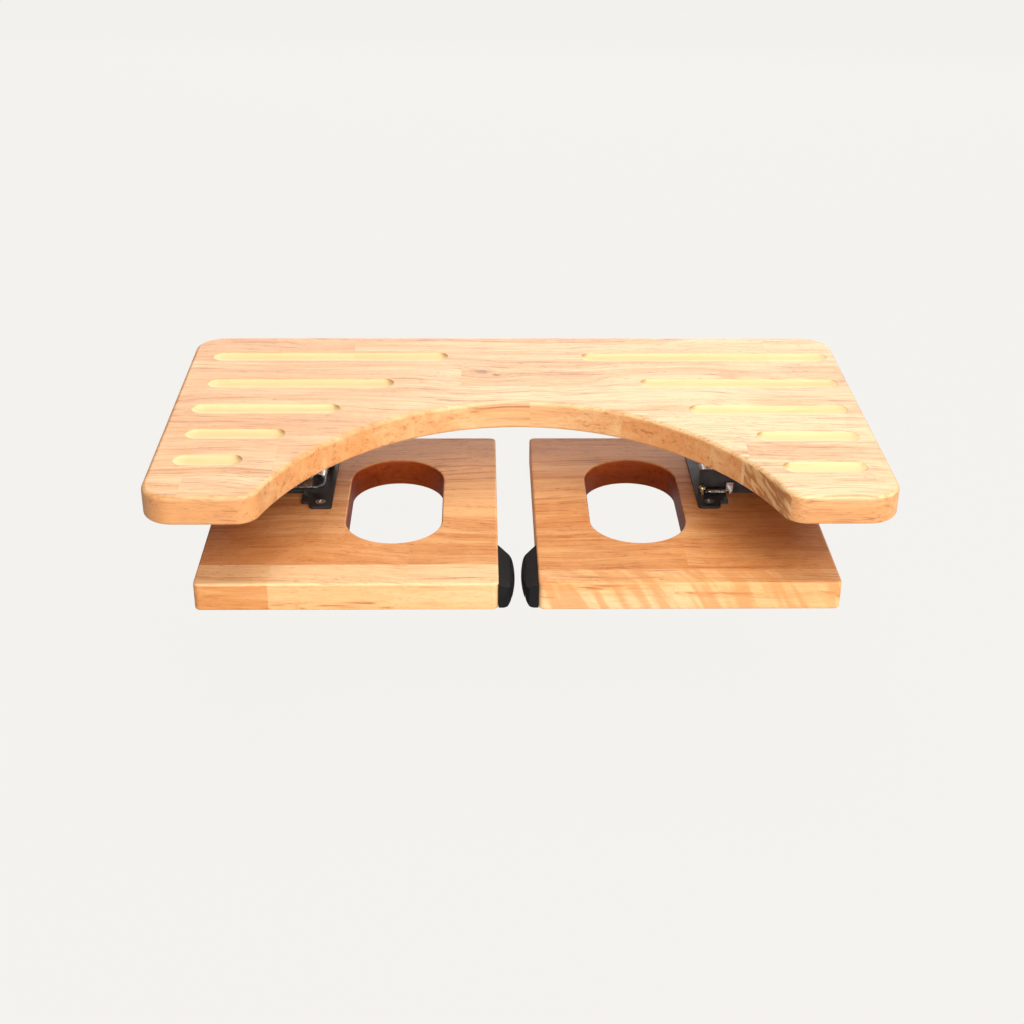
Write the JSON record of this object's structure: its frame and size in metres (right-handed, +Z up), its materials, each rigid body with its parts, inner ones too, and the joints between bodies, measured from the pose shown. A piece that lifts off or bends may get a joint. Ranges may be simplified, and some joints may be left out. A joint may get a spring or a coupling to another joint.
{
  "type": "folding foot stool",
  "caption": "Wooden foot-stool for a toilet: a grooved top board with a curved cut-out, and two leg boards with hand holes that fold flat under it on self-locking brackets.",
  "frame": {"origin": "middle of the stool on the surface that the folded legs lie on", "axes": "+X to the right along the stool's length, +Y to the back, away from the cut-out, +Z up through the standing surface"},
  "size_m": [0.48, 0.268, 0.088],
  "materials": {
    "board_wood": "clear satin lacquer on pale rubberwood",
    "leg_wood": "clear satin lacquer on honey-coloured rubberwood",
    "black_steel": "black painted pressed steel",
    "screw_zinc": "zinc-plated",
    "rivet_steel": "plain turned steel",
    "nylon": "natural nylon",
    "zinc_plate": "bright zinc plating",
    "spring_steel": "oiled spring wire",
    "spring_brass": "yellow-passivated zinc",
    "foot_plastic": "black moulded plastic, fine matte grain",
    "pad_rubber": "black moulded rubber"
  },
  "bodies": {
    "top": {"top_board": "board_wood", "top_plate_left": "black_steel", "top_plate_right": "black_steel", "top_plate_screws_left": "screw_zinc", "top_plate_screws_right": "screw_zinc", "pivot_pin_left": "rivet_steel", "pivot_pin_right": "rivet_steel"},
    "leg_left": {"leg_board_left": "leg_wood", "leg_plate_left": "black_steel", "leg_plate_screws_left": "screw_zinc", "pivot_washers_left": "nylon", "spring_post_left": "spring_brass", "lock_spring_left": "spring_steel", "foot_left": "foot_plastic", "foot_pad_left": "pad_rubber", "foot_screws_left": "screw_zinc"},
    "lock_left": {"release_slide_left": "zinc_plate", "lock_pin_left": "rivet_steel", "lock_pin_clips_left": "rivet_steel"},
    "leg_right": {"leg_board_right": "leg_wood", "leg_plate_right": "black_steel", "leg_plate_screws_right": "screw_zinc", "pivot_washers_right": "nylon", "spring_post_right": "spring_brass", "lock_spring_right": "spring_steel", "foot_right": "foot_plastic", "foot_pad_right": "pad_rubber", "foot_screws_right": "screw_zinc"},
    "lock_right": {"release_slide_right": "zinc_plate", "lock_pin_right": "rivet_steel", "lock_pin_clips_right": "rivet_steel"}
  },
  "joints": [
    {"name": "leg_left_fold", "type": "hinge", "parent": "top", "child": "leg_left", "pos_m": [-0.189, 0.024, 0.044], "axis": [0, 1, 0], "range_deg": [0, 90]},
    {"name": "leg_right_fold", "type": "hinge", "parent": "top", "child": "leg_right", "pos_m": [0.186, 0.024, 0.044], "axis": [0, -1, 0], "range_deg": [0, 90]},
    {"name": "lock_left_slide", "type": "slide", "parent": "leg_left", "child": "lock_left", "axis": [1, 0, 0], "range_m": [0, 0.004], "stiffness_N_per_m": 60, "springref_m": 0.008, "deforming": ["lock_spring_left"]},
    {"name": "lock_right_slide", "type": "slide", "parent": "leg_right", "child": "lock_right", "axis": [-1, 0, 0], "range_m": [0, 0.004], "stiffness_N_per_m": 60, "springref_m": 0.008, "deforming": ["lock_spring_right"]}
  ]
}
